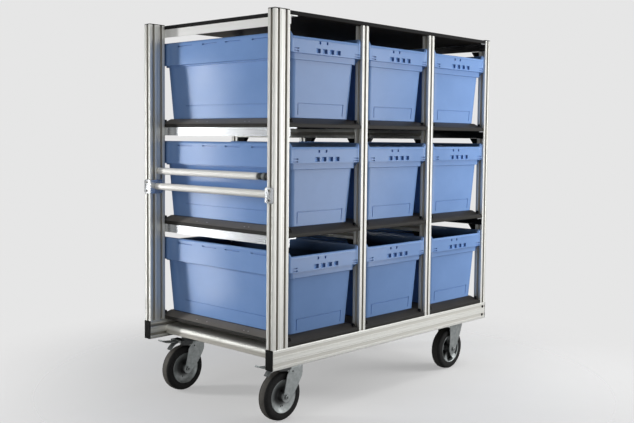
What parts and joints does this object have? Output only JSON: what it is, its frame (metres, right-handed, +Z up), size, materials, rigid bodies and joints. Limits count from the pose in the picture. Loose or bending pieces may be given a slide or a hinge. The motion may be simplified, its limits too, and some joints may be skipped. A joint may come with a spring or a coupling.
{
  "type": "roll container",
  "caption": "Wheeled order-picking rack of slotted aluminium profile with boxed shelf decks, sliding plastic crates and push bars at one end.",
  "frame": {"origin": "on the floor, under the middle of the object's bounding box", "axes": "+Z up; X along the object's length, with the push bars at the -X end; Y from front to rear, with the crates sliding out towards -Y"},
  "size_m": [1.4794, 0.82, 1.618],
  "materials": {
    "anodised_profile": "extruded aluminium, clear anodised, satin",
    "bright_aluminium": "aluminium angle, bright, fine brushed",
    "black_panel": "wood-based board with a smooth black film on both faces and black edges",
    "dark_powder_coat": "sheet steel, dark grey-brown powder coat, satin",
    "crate_blue": "moulded polypropylene, mid blue, satin",
    "zinc_plate": "pressed steel, grey zinc plating, slightly dull",
    "black_rubber": "solid black rubber, dusty grey-brown on the tread"
  },
  "bodies": {
    "frame": {"corner_post_front_left": "anodised_profile", "corner_post_front_right": "anodised_profile", "corner_post_rear_left": "anodised_profile", "corner_post_rear_right": "anodised_profile", "divider_post_front_1": "anodised_profile", "divider_post_front_2": "anodised_profile", "divider_post_rear_1": "anodised_profile", "divider_post_rear_2": "anodised_profile", "base_beam_front": "anodised_profile", "base_beam_rear": "anodised_profile", "cross_rail_left": "anodised_profile", "cross_rail_right": "anodised_profile", "shelf_bar_middle_1": "anodised_profile", "shelf_bar_middle_2": "anodised_profile", "shelf_bar_upper_1": "anodised_profile", "shelf_bar_upper_2": "anodised_profile", "push_bar_upper": "anodised_profile", "push_bar_lower": "anodised_profile", "bar_bracket_front": "bright_aluminium", "bar_bracket_rear": "bright_aluminium", "end_angle_left_middle": "bright_aluminium", "end_angle_left_upper": "bright_aluminium", "end_angle_left_top": "bright_aluminium", "end_angle_right_middle": "bright_aluminium", "end_angle_right_upper": "bright_aluminium", "end_angle_right_top": "bright_aluminium", "top_panel": "black_panel", "shelf_deck_lower": "dark_powder_coat", "shelf_deck_middle": "dark_powder_coat", "shelf_deck_upper": "dark_powder_coat", "caster_plate_front_left": "zinc_plate", "caster_plate_rear_left": "zinc_plate", "caster_bracket_front_right": "zinc_plate", "caster_bracket_rear_right": "zinc_plate", "wheel_axle_front_right": "zinc_plate", "wheel_axle_rear_right": "zinc_plate"},
    "swivel_front_left": {"caster_fork_front_left": "zinc_plate", "wheel_axle_front_left": "zinc_plate"},
    "swivel_rear_left": {"caster_fork_rear_left": "zinc_plate", "wheel_axle_rear_left": "zinc_plate"},
    "pedal_front_left": {"brake_pedal_front_left": "zinc_plate"},
    "pedal_rear_left": {"brake_pedal_rear_left": "zinc_plate"},
    "wheel_front_left": {"wheel_rim_front_left": "zinc_plate", "wheel_tyre_front_left": "black_rubber"},
    "wheel_rear_left": {"wheel_rim_rear_left": "zinc_plate", "wheel_tyre_rear_left": "black_rubber"},
    "wheel_front_right": {"wheel_rim_front_right": "zinc_plate", "wheel_tyre_front_right": "black_rubber"},
    "wheel_rear_right": {"wheel_rim_rear_right": "zinc_plate", "wheel_tyre_rear_right": "black_rubber"},
    "crate_lower_left": {"crate_lower_left": "crate_blue"},
    "crate_lower_centre": {"crate_lower_centre": "crate_blue"},
    "crate_lower_right": {"crate_lower_right": "crate_blue"},
    "crate_middle_left": {"crate_middle_left": "crate_blue"},
    "crate_middle_centre": {"crate_middle_centre": "crate_blue"},
    "crate_middle_right": {"crate_middle_right": "crate_blue"},
    "crate_upper_left": {"crate_upper_left": "crate_blue"},
    "crate_upper_centre": {"crate_upper_centre": "crate_blue"},
    "crate_upper_right": {"crate_upper_right": "crate_blue"}
  },
  "joints": [
    {"name": "swivel_front_left", "type": "hinge", "parent": "frame", "child": "swivel_front_left", "pos_m": [-0.55435, -0.3122, 0.24], "axis": [0, 0, 1], "continuous": true},
    {"name": "swivel_rear_left", "type": "hinge", "parent": "frame", "child": "swivel_rear_left", "pos_m": [-0.55435, 0.3122, 0.24], "axis": [0, 0, 1], "continuous": true},
    {"name": "brake_front_left", "type": "hinge", "parent": "swivel_front_left", "child": "pedal_front_left", "pos_m": [-0.63435, -0.3122, 0.2224], "axis": [0, 1, 0], "range_deg": [-12, 0]},
    {"name": "brake_rear_left", "type": "hinge", "parent": "swivel_rear_left", "child": "pedal_rear_left", "pos_m": [-0.63435, 0.3122, 0.2224], "axis": [0, 1, 0], "range_deg": [-12, 0]},
    {"name": "spin_front_left", "type": "hinge", "parent": "swivel_front_left", "child": "wheel_front_left", "pos_m": [-0.60435, -0.3122, 0.1], "axis": [0, 1, 0], "continuous": true},
    {"name": "spin_rear_left", "type": "hinge", "parent": "swivel_rear_left", "child": "wheel_rear_left", "pos_m": [-0.60435, 0.3122, 0.1], "axis": [0, 1, 0], "continuous": true},
    {"name": "spin_front_right", "type": "hinge", "parent": "frame", "child": "wheel_front_right", "pos_m": [0.55365, -0.3122, 0.1], "axis": [0, 1, 0], "continuous": true},
    {"name": "spin_rear_right", "type": "hinge", "parent": "frame", "child": "wheel_rear_right", "pos_m": [0.55365, 0.3122, 0.1], "axis": [0, 1, 0], "continuous": true},
    {"name": "slide_lower_left", "type": "slide", "parent": "frame", "child": "crate_lower_left", "axis": [0, -1, 0], "range_m": [0, 0.38]},
    {"name": "slide_lower_centre", "type": "slide", "parent": "frame", "child": "crate_lower_centre", "axis": [0, -1, 0], "range_m": [0, 0.38]},
    {"name": "slide_lower_right", "type": "slide", "parent": "frame", "child": "crate_lower_right", "axis": [0, -1, 0], "range_m": [0, 0.38]},
    {"name": "slide_middle_left", "type": "slide", "parent": "frame", "child": "crate_middle_left", "axis": [0, -1, 0], "range_m": [0, 0.38]},
    {"name": "slide_middle_centre", "type": "slide", "parent": "frame", "child": "crate_middle_centre", "axis": [0, -1, 0], "range_m": [0, 0.38]},
    {"name": "slide_middle_right", "type": "slide", "parent": "frame", "child": "crate_middle_right", "axis": [0, -1, 0], "range_m": [0, 0.38]},
    {"name": "slide_upper_left", "type": "slide", "parent": "frame", "child": "crate_upper_left", "axis": [0, -1, 0], "range_m": [0, 0.38]},
    {"name": "slide_upper_centre", "type": "slide", "parent": "frame", "child": "crate_upper_centre", "axis": [0, -1, 0], "range_m": [0, 0.38]},
    {"name": "slide_upper_right", "type": "slide", "parent": "frame", "child": "crate_upper_right", "axis": [0, -1, 0], "range_m": [0, 0.38]}
  ]
}
